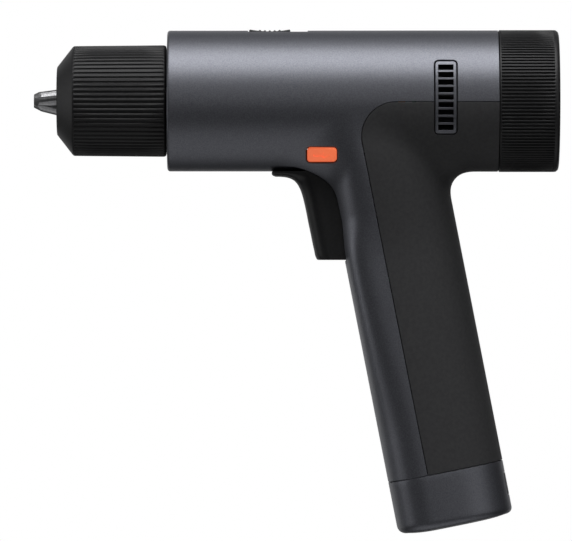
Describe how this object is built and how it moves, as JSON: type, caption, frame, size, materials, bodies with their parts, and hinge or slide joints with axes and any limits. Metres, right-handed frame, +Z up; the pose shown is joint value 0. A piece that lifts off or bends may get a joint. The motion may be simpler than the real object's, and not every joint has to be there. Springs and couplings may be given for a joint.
{
  "type": "cordless drill driver",
  "caption": "Compact pistol-grip cordless drill driver with a ribbed keyless chuck, cylindrical barrel, rear torque ring, long curved trigger and slide-in battery foot.",
  "frame": {"origin": "centre of the bounding box at its lowest point, the bottom of the battery foot", "axes": "+X along the barrel from the chuck to the torque ring, +Y across the tool, +Z up; the barrel's axis is level at z = 0.1596 m"},
  "size_m": [0.1938, 0.0524, 0.1861],
  "materials": {
    "grey_paint": "satin blue-grey metallic paint",
    "grip": "matte soft-touch black",
    "black_plastic": "fine-grained black",
    "orange_plastic": "satin orange",
    "bright_steel": "ground steel",
    "dark_steel": "blackened steel",
    "brass": "machined",
    "copper": "enamelled copper wire",
    "circuit_board": "solder mask",
    "clear_lens": "clear",
    "dark_lens": "dark tinted",
    "cell_wrap": "cell wrap",
    "inner_plastic": "dark grey nylon"
  },
  "bodies": {
    "casing": {"housing_left": "grey_paint", "housing_right": "grey_paint", "grip_cover": "grip", "front_ring": "black_plastic", "front_screw_1": "bright_steel", "front_screw_2": "bright_steel", "front_screw_3": "bright_steel", "work_light": "clear_lens", "vent_insert_left": "grey_paint", "vent_insert_right": "grey_paint", "gear_case": "inner_plastic", "spindle_bearing": "bright_steel", "fixed_ring_gear": "dark_steel", "motor_plate": "dark_steel", "stator_core": "dark_steel", "stator_windings": "copper", "motor_bearing_front": "bright_steel", "motor_bearing_rear": "bright_steel", "sensor_board": "circuit_board", "rear_hub": "inner_plastic", "display_board": "circuit_board", "display_lens": "dark_lens", "trigger_switch": "inner_plastic", "control_board": "circuit_board", "terminal_block": "inner_plastic", "trigger_spring": "bright_steel"},
    "output": {"spindle": "bright_steel", "chuck_body": "dark_steel", "chuck_screw": "dark_steel", "spindle_clip": "dark_steel"},
    "sleeve": {"chuck_sleeve": "black_plastic", "chuck_nut": "brass"},
    "rotor": {"motor_shaft": "bright_steel", "rotor_magnet": "dark_steel", "motor_pinion": "brass", "fan": "inner_plastic"},
    "carrier": {"first_carrier": "bright_steel"},
    "shift_ring": {"shift_ring_gear": "dark_steel"},
    "selector": {"speed_selector": "black_plastic", "shift_fork": "bright_steel"},
    "direction": {"direction_button": "orange_plastic"},
    "trigger": {"trigger": "black_plastic"},
    "torque_dial": {"torque_ring": "black_plastic"},
    "battery": {"battery_foot": "grey_paint", "battery_sleeve": "black_plastic", "battery_board": "circuit_board", "battery_cell_1": "cell_wrap", "battery_cell_2": "cell_wrap", "battery_cell_3": "cell_wrap"},
    "battery_key": {"battery_release": "black_plastic"},
    "jaw_1": {"chuck_jaw_1": "bright_steel"},
    "second_planet_1": {"second_planet_1": "bright_steel"},
    "first_planet_1": {"first_planet_1": "bright_steel"},
    "jaw_2": {"chuck_jaw_2": "bright_steel"},
    "second_planet_2": {"second_planet_2": "bright_steel"},
    "first_planet_2": {"first_planet_2": "bright_steel"},
    "jaw_3": {"chuck_jaw_3": "bright_steel"},
    "second_planet_3": {"second_planet_3": "bright_steel"},
    "first_planet_3": {"first_planet_3": "bright_steel"}
  },
  "joints": [
    {"name": "rotor_spin", "type": "hinge", "parent": "casing", "child": "rotor", "pos_m": [0.02315, 0, 0.15959], "axis": [1, 0, 0], "continuous": true},
    {"name": "carrier_spin", "type": "hinge", "parent": "casing", "child": "carrier", "pos_m": [-0.01785, 0, 0.15959], "axis": [1, 0, 0], "continuous": true},
    {"name": "spindle_spin", "type": "hinge", "parent": "casing", "child": "output", "pos_m": [-0.03885, 0, 0.15959], "axis": [1, 0, 0], "continuous": true},
    {"name": "first_planet_1_spin", "type": "hinge", "parent": "carrier", "child": "first_planet_1", "pos_m": [-0.01185, 0, 0.17079], "axis": [1, 0, 0], "continuous": true},
    {"name": "first_planet_2_spin", "type": "hinge", "parent": "carrier", "child": "first_planet_2", "pos_m": [-0.01185, -0.0097, 0.15399], "axis": [1, 0, 0], "continuous": true},
    {"name": "first_planet_3_spin", "type": "hinge", "parent": "carrier", "child": "first_planet_3", "pos_m": [-0.01185, 0.0097, 0.15399], "axis": [1, 0, 0], "continuous": true},
    {"name": "second_planet_1_spin", "type": "hinge", "parent": "output", "child": "second_planet_1", "pos_m": [-0.02585, 0, 0.17079], "axis": [1, 0, 0], "continuous": true},
    {"name": "second_planet_2_spin", "type": "hinge", "parent": "output", "child": "second_planet_2", "pos_m": [-0.02585, -0.0097, 0.15399], "axis": [1, 0, 0], "continuous": true},
    {"name": "second_planet_3_spin", "type": "hinge", "parent": "output", "child": "second_planet_3", "pos_m": [-0.02585, 0.0097, 0.15399], "axis": [1, 0, 0], "continuous": true},
    {"name": "sleeve_turn", "type": "hinge", "parent": "output", "child": "sleeve", "pos_m": [-0.06685, 0, 0.15959], "axis": [1, 0, 0], "range_deg": [0, 3710]},
    {"name": "jaw_1_slide", "type": "slide", "parent": "output", "child": "jaw_1", "axis": [0.9703, 0.2095, 0.121], "range_m": [0, 0.0207]},
    {"name": "jaw_2_slide", "type": "slide", "parent": "output", "child": "jaw_2", "axis": [0.9703, -0.2095, 0.121], "range_m": [0, 0.0207]},
    {"name": "jaw_3_slide", "type": "slide", "parent": "output", "child": "jaw_3", "axis": [0.9703, 0, -0.2419], "range_m": [0, 0.0207]},
    {"name": "selector_slide", "type": "slide", "parent": "casing", "child": "selector", "axis": [1, 0, 0], "range_m": [0, 0.006]},
    {"name": "shift_ring_slide", "type": "slide", "parent": "casing", "child": "shift_ring", "axis": [1, 0, 0], "range_m": [0, 0.006]},
    {"name": "direction_push", "type": "slide", "parent": "casing", "child": "direction", "axis": [0, 1, 0], "range_m": [-0.0018, 0.0018]},
    {"name": "trigger_pull", "type": "slide", "parent": "casing", "child": "trigger", "axis": [1, 0, 0], "range_m": [0, 0.006], "stiffness_N_per_m": 700, "springref_m": -0.004, "deforming": ["trigger_spring"]},
    {"name": "torque_dial_turn", "type": "hinge", "parent": "casing", "child": "torque_dial", "pos_m": [0.08515, 0, 0.15959], "axis": [1, 0, 0], "continuous": true},
    {"name": "battery_slide", "type": "slide", "parent": "casing", "child": "battery", "axis": [0.1924, 0, -0.9813], "range_m": [0, 0.075]},
    {"name": "battery_release_push", "type": "slide", "parent": "battery", "child": "battery_key", "axis": [-0.9813, 0, -0.1924], "range_m": [0, 0.0015], "stiffness_N_per_m": 600, "springref_m": -0.001}
  ],
  "couplings": [
    {"joint": "carrier_spin", "follows": "rotor_spin", "ratio": 0.25},
    {"joint": "spindle_spin", "follows": "rotor_spin", "ratio": 0.0625},
    {"joint": "first_planet_1_spin", "follows": "rotor_spin", "ratio": -0.75},
    {"joint": "first_planet_2_spin", "follows": "rotor_spin", "ratio": -0.75},
    {"joint": "first_planet_3_spin", "follows": "rotor_spin", "ratio": -0.75},
    {"joint": "second_planet_1_spin", "follows": "rotor_spin", "ratio": -0.1875},
    {"joint": "second_planet_2_spin", "follows": "rotor_spin", "ratio": -0.1875},
    {"joint": "second_planet_3_spin", "follows": "rotor_spin", "ratio": -0.1875},
    {"joint": "jaw_1_slide", "follows": "sleeve_turn", "m_per_rad": 0.00031831},
    {"joint": "jaw_2_slide", "follows": "sleeve_turn", "m_per_rad": 0.00031831},
    {"joint": "jaw_3_slide", "follows": "sleeve_turn", "m_per_rad": 0.00031831},
    {"joint": "shift_ring_slide", "follows": "selector_slide", "ratio": 1}
  ]
}
